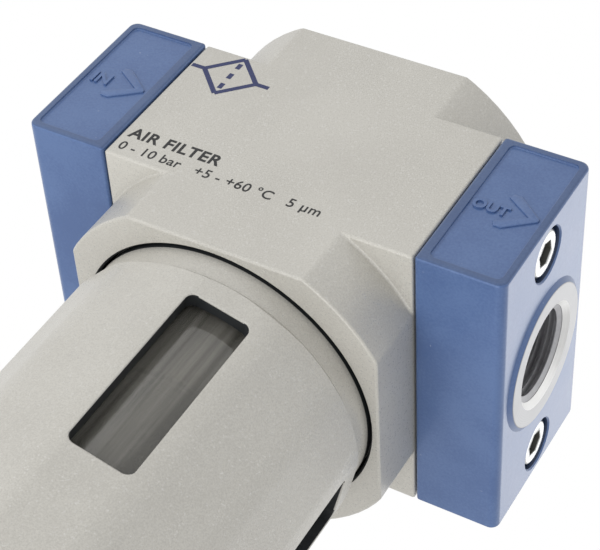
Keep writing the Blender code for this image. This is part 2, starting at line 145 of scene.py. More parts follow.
def turnProfile(profile, steps, at=bowlAxis):
    bm = bmesh.new()
    points = [bm.verts.new((radius, 0, height)) for radius, height in profile]
    edges = [bm.edges.new(pair) for pair in zip(points, points[1:])]
    if profile[0][0] > 0:
        edges.append(bm.edges.new((points[-1], points[0])))
    bmesh.ops.spin(
        bm, geom=points + edges, cent=(0, 0, 0), axis=(0, 0, 1),
        angle=2 * math.pi, steps=steps, use_merge=True,
    )
    bmesh.ops.remove_doubles(bm, verts=bm.verts[:], dist=1e-7)
    bmesh.ops.translate(bm, vec=at, verts=bm.verts[:])
    return bm


def alongX(bm, side, at=bowlAxis):
    # a shape made about the bowl axis is laid along the ports
    turn = Matrix.Rotation(side * math.pi / 2, 3, "Y")
    bmesh.ops.rotate(bm, cent=at, matrix=turn, verts=bm.verts[:])
    return bm


def boxShape(low, high):
    bm = bmesh.new()
    made = bmesh.ops.create_cube(bm, size=1)["verts"]
    low, high = Vector(low), Vector(high)
    bmesh.ops.scale(bm, vec=high - low, verts=made)
    bmesh.ops.translate(bm, vec=(low + high) / 2, verts=made)
    return bm


def prismShape(sides, radius, depth, place):
    bm = bmesh.new()
    bmesh.ops.create_cone(
        bm, cap_ends=True, segments=sides, radius1=radius, radius2=radius, depth=depth, matrix=place
    )
    return bm


def edgesAlong(bm, direction):
    return [e for e in bm.edges if abs((e.verts[0].co - e.verts[1].co).dot(direction)) > mm]


def sharpEdges(bm, angle):
    return [e for e in bm.edges if e.is_manifold and e.calc_face_angle() > math.radians(angle)]


def bevelEdges(bm, edges, offset, segments=4, clamp=True):
    bmesh.ops.bevel(
        bm, geom=edges, offset=offset, segments=segments,
        profile=0.5, affect="EDGES", material=-1, clamp_overlap=clamp,
    )


def fromAxis(point):
    return math.hypot(point.x - bowlAxis.x, point.y - bowlAxis.y)


def fromPort(point, offset=0):
    # distance from the port axis, or from a line beside it
    return math.hypot(point.y - bowlAxis.y - offset, point.z)


def carve(piece, cutters, operation="DIFFERENCE"):
    for cutter in cutters:
        modifier = piece.modifiers.new(cutter.name, "BOOLEAN")
        modifier.operation = operation
        modifier.object = cutter
    bpy.context.view_layer.update()
    graph = bpy.context.evaluated_depsgraph_get()
    carved = bpy.data.meshes.new_from_object(piece.evaluated_get(graph))
    piece.modifiers.clear()
    old = piece.data
    piece.data = carved
    bpy.data.meshes.remove(old)
    for cutter in cutters:
        bpy.data.objects.remove(cutter, do_unlink=True)


def finishWith(piece, *finishes):
    piece.data.materials.clear()
    for finish in finishes:
        piece.data.materials.append(finish)


def dress(piece, finish, body, slot, *nodes):
    if finish:
        finishWith(piece, finish)
    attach(piece, body)
    if nodes:
        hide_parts(*nodes)
    return piece


def colour(value):
    # three numbers get an alpha of one, anything else stays as it is
    return (*value, 1) if isinstance(value, tuple) else value


class Wire:
    def __init__(self, owner, socket):
        self.owner = owner
        self.socket = socket

    def __add__(self, other):
        return self.owner.maths("ADD", self, other)

    __radd__ = __add__

    def __mul__(self, other):
        return self.owner.maths("MULTIPLY", self, other)

    __rmul__ = __mul__

    def __sub__(self, other):
        return self.owner.maths("SUBTRACT", self, other)

    def __rsub__(self, other):
        return self.owner.maths("SUBTRACT", other, self)

    def __gt__(self, level):
        return self.owner.maths("GREATER_THAN", self, level)

    def __pow__(self, power):
        return self.owner.maths("POWER", self, power)


class ShaderTree:
    def __init__(self, tree):
        self.tree = tree

    def node(self, kind, settings=None, inputs=(), output=0):
        made = self.tree.nodes.new(kind)
        for key, value in (settings or {}).items():
            setattr(made, key, value)
        for key, value in dict(inputs).items():
            if isinstance(value, Wire):
                self.tree.links.new(value.socket, made.inputs[key])
            else:
                made.inputs[key].default_value = value
        return Wire(self, made.outputs[output])

    def maths(self, operation, *values):
        return self.node("ShaderNodeMath", {"operation": operation}, enumerate(values))

    def link(self, wire, node, socket):
        self.tree.links.new(wire.socket, self.tree.nodes[node].inputs[socket])


class Finish(ShaderTree):
    def __init__(self, name, **fixed):
        self.material = bpy.data.materials.new(name)
        self.material.use_nodes = True
        super().__init__(self.material.node_tree)
        self.shader = self.tree.nodes["Principled BSDF"]
        self.normal = None
        for socket, value in fixed.items():
            self.shader.inputs[socket.replace("_", " ")].default_value = colour(value)

    def place(self):
        return self.node("ShaderNodeTexCoord", output="Object")

    def mapped(self, **settings):
        return self.node("ShaderNodeMapping", {}, {"Vector": self.place(), **settings})

    def axes(self, vector):
        first = self.node("ShaderNodeSeparateXYZ", {}, {"Vector": vector})
        return [Wire(self, socket) for socket in first.socket.node.outputs]

    def noise(self, scale, detail, vector=None):
        inputs = {"Vector": vector or self.place(), "Scale": scale, "Detail": detail}
        return self.node("ShaderNodeTexNoise", {}, inputs)

    def cells(self, scale, output="Color"):
        return self.node("ShaderNodeTexVoronoi", {}, {"Vector": self.place(), "Scale": scale}, output)

    def between(self, value, low, high):
        # runs smoothly from nought at the low value to one at the high value
        inputs = {"Value": value, "From Min": low, "From Max": high}
        return self.node("ShaderNodeMapRange", {"interpolation_type": "SMOOTHSTEP"}, inputs)

    def mix(self, amount, first, second):
        inputs = {0: amount, 6: colour(first), 7: colour(second)}
        return self.node("ShaderNodeMix", {"data_type": "RGBA"}, inputs, 2)

    def feed(self, socket, wire):
        self.link(wire, "Principled BSDF", socket)

    def bump(self, height, strength, distance):
        inputs = {"Height": height, "Strength": strength, "Distance": distance}
        if self.normal:
            inputs["Normal"] = self.normal
        self.normal = self.node("ShaderNodeBump", {}, inputs)
        self.feed("Normal", self.normal)


silver = {
    "shade": (0.49, 0.475, 0.435),
    "light": (0.57, 0.555, 0.51),
    "flakeGlint": (0.88, 0.88, 0.86),
    "flakeScale": 5200,
    "flakeLevel": 0.86,
    "flakeGlintMix": 0.22,
    "grainScale": 3800,
}


def silverLacquer():
    made = Finish("silverLacquer", Coat_Weight=0.15, Coat_Roughness=0.25)
    grain = made.noise(silver["grainScale"], 2)
    cloud = made.noise(60, 3)
    shaded = made.between(grain * 0.7 + cloud * 0.3, 0.35, 0.65)
    # the flakes are real in the paint; their near-white colour in the base stands for painted glints
    flakes = made.cells(silver["flakeScale"]) > silver["flakeLevel"]
    base = made.mix(shaded, silver["shade"], silver["light"])
    made.feed("Base Color", made.mix(flakes * silver["flakeGlintMix"], base, silver["flakeGlint"]))
    made.feed("Metallic", 0.2 + flakes * 0.05)
    made.feed("Roughness", 0.45 - flakes * 0.2 + (cloud - 0.5) * 0.1)
    made.bump(made.noise(420, 2), 0.2, 0.0001)
    made.bump(made.cells(silver["flakeScale"]), 0.35, 0.00003)
    return made.material


blue = {
    "deep": (0.065, 0.122, 0.285),
    "light": (0.090, 0.158, 0.335),
    "dust": (0.42, 0.47, 0.58),
    "dustMix": 0.35,
    "rimShare": 0.7,
    "holeShadeShare": 0.35,
}


def blueLacquer(name, share=1.0):
    made = Finish(name, Coat_Weight=0.35, Coat_Roughness=0.22, Metallic=0.15)
    cloud = made.noise(90, 4)
    grain = made.noise(2600, 2)
    deep, light = (tuple(part * share for part in blue[tone]) for tone in ("deep", "light"))
    base = made.mix(made.between(cloud * 0.6 + grain * 0.4, 0.35, 0.65), deep, light)
    dust = (made.cells(3400) > 0.955) * made.between(made.noise(200, 2), 0.48, 0.62)
    made.feed("Base Color", made.mix(dust * blue["dustMix"], base, blue["dust"]))
    made.feed("Roughness", 0.36 + (cloud - 0.5) * 0.14 + dust * 0.2)
    made.bump(made.noise(520, 3), 0.22, 0.0001)
    made.bump(grain, 0.12, 0.00003)
    return made.material


def turnedMetal(name, dark, light):
    # cutting rings follow the port axis
    made = Finish(name, Metallic=1.0)
    acrossY, acrossZ = made.axes(made.mapped(Location=tuple(-bowlAxis)))[1:]
    radius = (acrossY * acrossY + acrossZ * acrossZ) ** 0.5
    cloud = made.noise(400, 3)
    made.feed("Base Color", made.mix(cloud, dark, light))
    made.feed("Roughness", 0.3 + cloud * 0.16)
    made.bump(made.maths("SINE", radius * 16000), 0.2, 0.00002)
    return made.material


def threadMetal():
    made = Finish("threadMetal", Metallic=1.0)
    cloud = made.noise(900, 3)
    made.feed("Base Color", made.mix(cloud, (0.36, 0.36, 0.38), (0.55, 0.55, 0.56)))
    made.feed("Roughness", 0.4 + cloud * 0.15)
    return made.material


def paintedShade():
    # painted shade: a near-black colour for the guard's window walls and lining, the band on its neck and
    # the collar's bore, where shade falls
    made = Finish("paintedShade", Specular_IOR_Level=0.3)
    cloud = made.noise(700, 3)
    made.feed("Base Color", made.mix(cloud, (0.012, 0.014, 0.016), (0.03, 0.033, 0.035)))
    made.feed("Roughness", 0.5 + cloud * 0.2)
    return made.material


def zincPlate():
    made = Finish("zincPlate", Metallic=1.0)
    cloud = made.noise(700, 4)
    made.feed("Base Color", made.mix(cloud, (0.47, 0.475, 0.475), (0.68, 0.68, 0.665)))
    made.feed("Roughness", 0.16 + cloud * 0.2)
    made.bump(made.noise(2400, 3), 0.12, 0.00003)
    return made.material


def blackRubber():
    made = Finish("blackRubber", Specular_IOR_Level=0.35)
    cloud = made.noise(800, 3)
    made.feed("Base Color", made.mix(cloud, (0.012, 0.012, 0.013), (0.035, 0.035, 0.036)))
    made.feed("Roughness", 0.55 + cloud * 0.2)
    made.bump(cloud, 0.15, 0.00005)
    return made.material


def clearBowl():
    # drawn plastic, a little cloudy; the light and dark streaks along the bowl are painted reflections
    made = Finish("clearBowl", Transmission_Weight=0.72, IOR=1.5, Coat_Weight=0.3, Coat_Roughness=0.03)
    fine = made.noise(900, 3, made.mapped(Scale=(1, 1, 0.03)))
    broad = made.noise(260, 3, made.mapped(Scale=(1, 1, 0.05)))
    reflectionStreaks = made.between(fine * 0.5 + broad * 0.5, 0.38, 0.66)
    made.feed("Base Color", made.mix(reflectionStreaks, (0.28, 0.27, 0.235), (0.62, 0.60, 0.54)))
    made.feed("Roughness", 0.06 + reflectionStreaks * 0.12)
    made.bump(broad, 0.2, 0.0001)
    return made.material


def sinteredPlastic():
    made = Finish("sinteredPlastic")
    grains = made.cells(3200, "Distance")
    shaded = made.between(grains, 0.1, 0.6)
    made.feed("Base Color", made.mix(shaded, (0.74, 0.72, 0.65), (0.6, 0.575, 0.51)))
    made.feed("Roughness", 0.8 + grains * 0.15)
    made.bump(grains, 0.4, 0.0001)
    return made.material


def mouldedPlastic(name, dark, light, rough):
    made = Finish(name)
    grain = made.noise(1800, 3)
    cloud = made.noise(120, 3)
    made.feed("Base Color", made.mix(cloud, dark, light))
    made.feed("Roughness", rough + (grain - 0.5) * 0.2)
    made.bump(grain, 0.18, 0.00004)
    return made.material


def printInk(name, dark, light):
    made = Finish(name)
    wear = made.noise(2600, 3)
    made.feed("Base Color", made.mix(made.between(wear, 0.4, 0.75), dark, light))
    made.feed("Roughness", 0.45 + wear * 0.15)
    return made.material


silverFinish = silverLacquer()
blueFinish = blueLacquer("blueLacquer")
rimFinish = blueLacquer("blueRim", blue["rimShare"])
# painted shade: a darker copy of the blue lacquer for the walls of the screw counterbores
holeShadeFinish = blueLacquer("blueHoleShade", blue["holeShadeShare"])
# one bare turned metal in two copies: a darker one on the flat ring is painted shade, a near-white one on
# the mouth chamfer is a painted highlight
ringShadeFinish = turnedMetal("bareRingShade", (0.27, 0.272, 0.28), (0.38, 0.382, 0.39))
mouthHighlightFinish = turnedMetal("mouthHighlightMetal", (0.78, 0.78, 0.77), (0.92, 0.92, 0.91))
threadFinish = threadMetal()
paintedShadeFinish = paintedShade()
zincFinish = zincPlate()
# painted shade: a dark colour for the inside of the screw sockets, which are really zinc-plated steel
socketShadeFinish = mouldedPlastic("socketShade", (0.045, 0.045, 0.038), (0.09, 0.09, 0.078), 0.45)
rubberFinish = blackRubber()
bowlFinish = clearBowl()
sinterFinish = sinteredPlastic()
naturalFinish = mouldedPlastic("naturalPlastic", (0.68, 0.66, 0.6), (0.78, 0.77, 0.72), 0.42)
blackFinish = mouldedPlastic("blackPlastic", (0.018, 0.018, 0.02), (0.035, 0.035, 0.038), 0.42)
navyInk = printInk("navyInk", (0.018, 0.026, 0.10), (0.03, 0.042, 0.13))
blackInk = printInk("blackInk", (0.008, 0.008, 0.009), (0.02, 0.02, 0.02))
print("finishes ready")


# housing: a square core between two round collars, with the air's ways inside
housing = {
    "collarRadius": 31.6 * mm,
    "arcSteps": 72,
    "edge": 0.9 * mm,
    "mouthEdge": 0.35 * mm,
    "riserRadius": 6.5 * mm,
    # radius and roof of each step of the cavity, from the centre tube out to the collar's bore
    "tube": (11.0 * mm, -15.0 * mm),
    "chamber": (20.4 * mm, -9.0 * mm),
    "spigot": (23.1 * mm, -12.0 * mm),
    "guardPocket": (25.3 * mm, -15.7 * mm),
    "collar": (26.05 * mm, -17.9 * mm),
    "boreRadius": 7.0 * mm,
    "outletEnd": 0.5 * mm,
    "inletEnd": 13.0 * mm,
    "inletPocket": ((-20.1 * mm, -6.5 * mm, -10 * mm), (-12.5 * mm, 6.5 * mm, -1 * mm)),
    # half length, half width, height and rise above the tube's end
    "bridge": (8 * mm, 3.2 * mm, 3.0 * mm, 0.3 * mm),
    "studHole": (2.8 * mm, -8 * mm, -16 * mm),
    "screwHole": 2.8 * mm,
    "screwDepth": 16.1 * mm,
    "screwRow": 21.5 * mm,
}


def cornerCutter(side):
    # leaves the collar's corners on one circle beyond the square core
    low, high = sorted((side * outletHigh.z, side * (housingHigh.z + mm)))
    ring = ringProfile(housing["collarRadius"], 3 * bodyHalf, high, low)
    bm = turnProfile(ring, housing["arcSteps"])
    # half a step round, so that no short facet is left for the bevel
    halfStep = Matrix.Rotation(math.pi / housing["arcSteps"], 3, "Z")
    bmesh.ops.rotate(bm, cent=bowlAxis, matrix=halfStep, verts=bm.verts[:])
    return endPiece(bm, "cornerCutter")


def solidCasting():
    casting = endPiece(boxShape(housingLow, housingHigh), "housingCasting")
    carve(casting, [cornerCutter(-1), cornerCutter(1)])
    bm = reopen(casting)
    bmesh.ops.dissolve_limit(bm, angle_limit=math.radians(0.5), verts=bm.verts[:], edges=bm.edges[:])
    bevelEdges(bm, sharpEdges(bm, 20), housing["edge"])
    close(casting, bm)
    casting.modifiers.clear()
    return casting


def cavityShape():
    radius, mouth, edge = housing["riserRadius"], housingLow.z, housing["mouthEdge"]
    profile = [(0, radius)] + arcPoints((0, 0), radius, 90, 0, 12)[1:]
    for step in ("tube", "chamber", "spigot", "guardPocket", "collar"):
        wider, roof = housing[step]
        profile += [(radius, roof), (wider, roof)]
        radius = wider
    profile += [(radius, mouth + edge), (radius + edge * 3, mouth - edge * 2), (0, mouth - edge * 2)]
    return turnProfile(profile, 160)


def portBore(side, end):
    return alongX(turnProfile(rodProfile(housing["boreRadius"], bodyHalf + mm, end), 64), side)


def screwHoles():
    rod = rodProfile(housing["screwHole"], bodyHalf + mm, housing["screwDepth"])
    holes = []
    for side in (-1, 1):
        for row in (-1, 1):
            at = bowlAxis + Vector((0, row * housing["screwRow"], 0))
            holes.append(endPiece(alongX(turnProfile(rod, 32, at), side, at), "screwHole"))
    return holes


def makeHousing():
    casting = solidCasting()
    pocketLow, pocketHigh = (bowlAxis + Vector(corner) for corner in housing["inletPocket"])
    carve(casting, [
        endPiece(cavityShape(), "cavity"),
        endPiece(portBore(1, housing["outletEnd"]), "outletBore"),
        endPiece(portBore(-1, housing["inletEnd"]), "inletBore"),
        endPiece(boxShape(pocketLow, pocketHigh), "inletPocket"),
    ])
    long, wide, high, rise = housing["bridge"]
    half = Vector((long, wide, 0))
    low = bowlAxis + upward * (housing["tube"][1] + rise)
    bridge = boxShape(low - half, low + half + upward * high)
    carve(casting, [endPiece(bridge, "bridge")], "UNION")
    studHole = turnProfile(rodProfile(*housing["studHole"]), 48)
    carve(casting, [endPiece(studHole, "studHole")] + screwHoles())

    finishWith(casting, silverFinish, paintedShadeFinish)
    bm = reopen(casting)
    # painted shade: faces inside the collar's bore and the cavity take the near-black colour
    bore = housing["collar"][0] + housing["mouthEdge"] + slack
    for face in bm.faces:
        inBore = max(fromAxis(v.co) for v in face.verts) < bore
        face.material_index = int(inBore and max(v.co.z for v in face.verts) < outletHigh.z)
    close(casting, bm)
    return dress(casting, None, headBody, "silver_lacquer", "housing")


makeHousing()
print("housing ready")


# end plates: blue castings with a port, a seal groove and two screws each
plate = {
    "gap": 0.3 * mm,
    "edge": 0.54 * mm,
    "corner": 1.6 * mm,
    "bossBase": 13.18 * mm,
    "bossTop": 12.23 * mm,
    "bossRise": 0.65 * mm,
    "bossEdge": 0.12 * mm,
    "threadRadius": 8.33 * mm,
    "threadRoot": 7.49 * mm,
    "threadPitch": 1.337 * mm,
    "threadTurns": 8,
    "mouthChamfer": 0.95 * mm,
    "boreRadius": 7.0 * mm,
    "sealInner": 9.3 * mm,
    "sealOuter": 12.0 * mm,
    "sealDepth": 2.1 * mm,
    "headHole": 4.62 * mm,
    "headHoleEdge": 0.25 * mm,
    "headDepth": 5.7 * mm,
    "shankHole": 2.8 * mm,
    "panelNear": 2.0 * mm,
    "panelFar": 1.3 * mm,
    "panelTop": 1.3 * mm,
    "panelDepth": 0.42 * mm,
    "panelCorner": 1.0 * mm,
    "panelLip": 0.16 * mm,
    "panelFoot": 0.2 * mm,
    "nearFace": 0.1 * mm,  # how far a face's finish runs over its edge
}
plateFinishes = {
    "casting": blueFinish, "ring": ringShadeFinish, "thread": threadFinish,
    "screwHole": holeShadeFinish, "mouth": mouthHighlightFinish, "front": rimFinish,
}
plateFace = outletHigh.x - plate["bossRise"]
plateTop = outletHigh.z
plateFront = outletLow.y
portMouth = plateFace + plate["bossRise"]


def portProfile(near):
    # mouth chamfer, then one V for each turn of thread, then the plain bore
    crest, root, pitch = plate["threadRadius"], plate["threadRoot"], plate["threadPitch"]
    top = portMouth - plate["mouthChamfer"]
    profile = [(0, portMouth + mm), (crest + plate["mouthChamfer"] + mm, portMouth + mm), (crest, top)]
    for turn in range(plate["threadTurns"]):
        start = top - turn * pitch
        profile += [
            (crest, start - 0.08 * pitch), (root, start - 0.46 * pitch),
            (root, start - 0.58 * pitch), (crest, start - 0.96 * pitch),
        ]
    end = top - plate["threadTurns"] * pitch
    return profile + [(plate["boreRadius"], end - 0.8 * mm), (plate["boreRadius"], near), (0, near)]


def screwHoleProfile(near):
    radius, edge = plate["headHole"], plate["headHoleEdge"]
    seat = plateFace - plate["headDepth"]
    return [
        (0, plateFace + mm), (radius + edge + mm, plateFace + mm), (radius, plateFace - edge),
        (radius, seat), (plate["shankHole"], seat), (plate["shankHole"], near), (0, near),
    ]


def panelCutter(side):
    near = side * (bodyHalf + plate["panelNear"])
    far = side * (plateFace - plate["panelFar"])
    low, high = sorted((near, far))
    top = plateTop - plate["panelTop"]
    bm = boxShape((low, plateFront - mm, -top), (high, plateFront + plate["panelDepth"], top))
    bevelEdges(bm, edgesAlong(bm, inward), plate["panelCorner"], 5)
    floor = max(v.co.y for v in bm.verts)
    foot = [e for e in bm.edges if all(abs(v.co.y - floor) < 1e-6 for v in e.verts)]
    bevelEdges(bm, foot, plate["panelFoot"], 3)
    return endPiece(bm, "panel")


def plateBlank(name, side):
    near = bodyHalf + plate["gap"]
    low, high = sorted((side * near, side * plateFace))
    bm = boxShape((low, plateFront, -plateTop), (high, housingHigh.y, plateTop))
    outer = side * plateFace
    corners = [e for e in edgesAlong(bm, inward) if all(abs(v.co.x - outer) < 1e-6 for v in e.verts)]
    bevelEdges(bm, corners, plate["corner"], 6)
    bevelEdges(bm, sharpEdges(bm, 60), plate["edge"])
    return endPiece(bm, name)


def onPanelLip(point, side):
    near = bodyHalf + plate["panelNear"] * 0.9
    far = plateFace - plate["panelFar"] * 0.9
    onFront = abs(point.y - plateFront) < 1e-6
    return onFront and near < side * point.x < far and abs(point.z) < plateTop - plate["panelTop"] * 0.9


def plateSurface(face, side):
    # the name of the finish that a face of the plate gets
    corners = [v.co for v in face.verts]
    low, high = min(side * c.x for c in corners), max(side * c.x for c in corners)
    for row in (-1, 1):
        # painted shade in the screw counterbores
        around = max(fromPort(c, row * housing["screwRow"]) for c in corners)
        if around < plate["headHole"] + slack and high < plateFace:
            return "screwHole"
    spread = max(fromPort(c) for c in corners)
    chamfer, touch = plate["mouthChamfer"], plate["nearFace"]
    # the mouth chamfer gets the painted highlight copy of the turned metal
    if low > portMouth - chamfer - slack and spread < plate["threadRadius"] + chamfer + slack:
        return "mouth"
    if low > portMouth - touch and spread < plate["bossTop"] + touch:
        return "ring"
    if spread < plate["threadRadius"] + slack:
        return "thread"
    return "front" if min(c.y for c in corners) < plateFront + touch else "casting"


def makePlate(name, node, side):
    casting = plateBlank(name, side)
    base = plateFace - mm
    boss = [
        (0, portMouth), (plate["bossTop"], portMouth), (plate["bossBase"], plateFace),
        (plate["bossBase"], base), (0, base),
    ]
    boss = turnProfile(roundCorners(boss, plate["bossEdge"]), 128)
    carve(casting, [endPiece(alongX(boss, side), "boss")], "UNION")

    near = bodyHalf + plate["gap"]
    groove = ringProfile(plate["sealInner"], plate["sealOuter"], near - mm, near + plate["sealDepth"])
    cutters = [
        endPiece(alongX(turnProfile(portProfile(near - mm), 96), side), "port"),
        endPiece(alongX(turnProfile(groove, 96), side), "groove"),
        panelCutter(side),
    ]
    for row in (-1, 1):
        at = bowlAxis + Vector((0, row * housing["screwRow"], 0))
        hole = turnProfile(screwHoleProfile(near - mm), 64, at)
        cutters.append(endPiece(alongX(hole, side, at), "screwHole"))
    carve(casting, cutters)

    finishWith(casting, *plateFinishes.values())
    bm = reopen(casting)
    lip = [e for e in sharpEdges(bm, 60) if all(onPanelLip(v.co, side) for v in e.verts)]
    bevelEdges(bm, lip, plate["panelLip"], 2)
    surfaces = list(plateFinishes)
    for face in bm.faces:
        face.material_index = surfaces.index(plateSurface(face, side))
    close(casting, bm)
    return dress(casting, None, headBody, "blue_lacquer", node)


makePlate("inletPlateCasting", "inlet_plate", -1)
makePlate("outletPlateCasting", "outlet_plate", 1)


def writtenPiece(words, name, size, at, thickness, bold, spread=1.0):
    # letters stand on a front face, reading from the left
    curve = bpy.data.curves.new(name, "FONT")
    curve.body = words
    curve.size = size
    curve.extrude = thickness / 2
    curve.offset = bold
    curve.space_character = spread
    curve.resolution_u = 6
    text = addObject(name, curve)
    bpy.context.view_layer.update()
    mesh = bpy.data.meshes.new_from_object(text.evaluated_get(bpy.context.evaluated_depsgraph_get()))
    bpy.data.objects.remove(text, do_unlink=True)
    mesh.transform(Matrix.Translation(at) @ Matrix.Rotation(math.pi / 2, 4, "X"))
    bm = bmesh.new()
    bm.from_mesh(mesh)
    bpy.data.meshes.remove(mesh)
    return endPiece(bm, name, 30)


# flow marks, raised from the panels' floors
marks = {
    "height": 0.3 * mm,
    "sink": 0.1 * mm,
    "bold": 0.09 * mm,
    "letterBase": -1.25 * mm,
    "arrowHalf": 3.85 * mm,
    "arrowArm": 1.75 * mm,
    "arrowTip": 0.28 * mm,
    "arrowEdge": 0.16 * mm,
    # words, where they start and their size, and the arrow's two ends
    "inlet": ("IN", -40.3 * mm, 3.5 * mm, (-36.2 * mm, -30.2 * mm)),
    "outlet": ("OUT", 29.9 * mm, 2.8 * mm, (34.9 * mm, 40.7 * mm)),
}
panelFloor = plateFront + plate["panelDepth"]
markThickness = marks["height"] + marks["sink"]


def makeFlowWord(name, words, left, size):
    at = Vector((left, panelFloor - marks["height"] + markThickness / 2, marks["letterBase"]))
    word = writtenPiece(words, name, size, at, markThickness, marks["bold"])
    return dress(word, blueFinish, headBody, "blue_lacquer")


def makeArrow(name, left, right):
    half, arm, tip = marks["arrowHalf"], marks["arrowArm"], marks["arrowTip"]
    outline = [
        (left, half), (left + arm * 0.75, half), (right, tip), (right, -tip),
        (left + arm * 0.75, -half), (left, -half), (left - arm * 0.25, -half + 0.5 * arm),
        (right - arm, 0), (left - arm * 0.25, half - 0.5 * arm),
    ]
    bm = bmesh.new()
    face = bm.faces.new([bm.verts.new((x, panelFloor + marks["sink"], z)) for x, z in outline])
    grown = bmesh.ops.extrude_face_region(bm, geom=[face])["geom"]
    tops = [v for v in grown if isinstance(v, bmesh.types.BMVert)]
    bmesh.ops.translate(bm, vec=(0, -markThickness, 0), verts=tops)
    front = min(v.co.y for v in bm.verts)
    rim = [e for e in bm.edges if all(abs(v.co.y - front) < 1e-7 for v in e.verts)]
    bevelEdges(bm, rim, marks["arrowEdge"], 3)
    return dress(endPiece(bm, name), blueFinish, headBody, "blue_lacquer")


for port in ("inlet", "outlet"):
    makeFlowWord(f"{port}Word", *marks[port][:3])
for port in ("inlet", "outlet"):
    makeArrow(f"{port}Arrow", *marks[port][3])
print("end plates ready")


# print on the front of the housing
ink = {
    "thickness": 0.03 * mm,
    "left": -26.2 * mm,
    "titleBase": -10.75 * mm,
    "titleSize": 3.3 * mm,
    "titleBold": 0.09 * mm,
    "titleSpread": 1.08,
    "lineBase": -14.0 * mm,
    "lineSize": 2.75 * mm,
    "lineBold": 0.03 * mm,
    "lineSpread": 1.05,
    "symbolCentre": (-19.6 * mm, 9.9 * mm),
    "symbolHalf": 5.0 * mm,
    "symbolLead": 2.4 * mm,
    "symbolLine": 0.85 * mm,
}
inkMiddle = housingLow.y - ink["thickness"] / 4


def inkBar(start, stop, width):
    start, stop = Vector(start), Vector(stop)
    run = stop - start
    turn = Matrix.Rotation(-math.atan2(run.y, run.x), 4, "Y")
    middle = (start + stop) / 2
    spot = Matrix.Translation((middle.x, inkMiddle, middle.y))
    size = Matrix.Diagonal((run.length, ink["thickness"], width, 1))
    bm = bmesh.new()
    bmesh.ops.create_cube(bm, size=1, matrix=spot @ turn @ size)
    return endPiece(bm, "stroke")


def makeFilterSymbol():
    # the standard drawing sign for an air filter: a diamond on a line, split by dashes
    x, z = ink["symbolCentre"]
    half, lead, width = ink["symbolHalf"], ink["symbolLead"], ink["symbolLine"]
    corners = [(x - half, z), (x, z + half), (x + half, z), (x, z - half)]
    strokes = [(corners[i], corners[(i + 1) % 4]) for i in range(4)]
    strokes += [((x - half - lead, z), (x - half, z)), ((x + half, z), (x + half + lead, z))]
    dash = 2 * half / 7
    strokes += [((x, z + half - dash * k), (x, z + half - dash * (k + 1))) for k in (1, 3, 5)]
    symbol, *others = [inkBar(start, stop, width) for start, stop in strokes]
    symbol.name = "filterSymbol"
    carve(symbol, others, "UNION")
    return dress(symbol, navyInk, headBody, "silver_lacquer")


def makePrint(name, words, kind):
    at = Vector((ink["left"], inkMiddle, ink[kind + "Base"]))
    size, bold, spread = (ink[kind + part] for part in ("Size", "Bold", "Spread"))
    piece = writtenPiece(words, name, size, at, ink["thickness"], bold, spread)
    return dress(piece, blackInk, headBody, "silver_lacquer")


makePrint("printTitle", "AIR FILTER", "title")
makePrint("printLine", "0 - 10 bar   +5 - +60 °C   5 µm", "line")
makeFilterSymbol()
print("print ready")


# socket head screws that hold the plates
screw = {
    "headRadius": 4.25 * mm,
    "headHeight": 5.0 * mm,
    "headEdge": 0.55 * mm,
    "rounding": 0.25 * mm,
    "length": 20.0 * mm,
    "plainLength": 2.0 * mm,
    "radius": 2.5 * mm,
    "root": 0.82,
    "pitch": 0.8 * mm,
    "key": 2.0 * mm,
    "keyDepth": 2.6 * mm,
    "keyTurn": 11,
    "keyEdge": 0.15 * mm,
    "sink": 0.4 * mm,
}


def screwProfile():
    head, radius, edge = screw["headRadius"], screw["radius"], screw["headEdge"]
    underHead = -screw["headHeight"]
    profile = [(0, 0), (head - edge, 0), (head, -edge), (head, underHead), (radius, underHead)]
    profile = roundCorners(profile, screw["rounding"], 3)
    for turn in range(int((screw["length"] - screw["plainLength"] - mm) / screw["pitch"])):
        start = underHead - screw["plainLength"] - turn * screw["pitch"]
        profile += [(radius, start), (radius * screw["root"], start - screw["pitch"] / 2)]
    end = underHead - screw["length"]
    return profile + [(radius, end + screw["pitch"]), (radius * 0.75, end), (0, end)]


def screwShape():
    blank = endPiece(turnProfile(screwProfile(), 48, Vector((0, 0, 0))), "screwBlank")
    turn = Matrix.Rotation(math.radians(screw["keyTurn"]), 4, "Z")
    key = prismShape(6, screw["key"] / math.cos(math.pi / 6), 2 * screw["keyDepth"], turn)
    carve(blank, [endPiece(key, "key")])
    bm = reopen(blank)
    rim = [
        e for e in bm.edges
        if all(abs(v.co.z) < 1e-6 and 0.9 < v.co.xy.length / screw["key"] < 1.3 for v in e.verts)
    ]
    bevelEdges(bm, rim, screw["keyEdge"], 2)
    finishWith(blank, zincFinish, socketShadeFinish)
    # painted shade on the faces inside the hex socket
    for face in bm.faces:
        bottom = min(v.co.z for v in face.verts)
        narrow = max(v.co.xy.length for v in face.verts) < screw["key"] * 1.2
        face.material_index = int(narrow and -screw["keyDepth"] - slack < bottom < -2 * screw["keyEdge"])
    close(blank, bm, 30)
    blank.modifiers.clear()
    return blank


def makeScrews():
    blank = screwShape()
    for port, side in (("inlet", -1), ("outlet", 1)):
        for place, row in (("front", -1), ("back", 1)):
            mesh = blank.data.copy()
            at = bowlAxis + Vector((side * (plateFace - screw["sink"]), row * housing["screwRow"], 0))
            mesh.transform(Matrix.Translation(at) @ Matrix.Rotation(side * math.pi / 2, 4, "Y"))
            piece = addObject(f"{port}Screw{place.title()}", mesh)
            dress(piece, None, headBody, "zinc_plate", f"{port}_plate_screw_{place}")
    bpy.data.objects.remove(blank, do_unlink=True)


makeScrews()
print("screws ready")


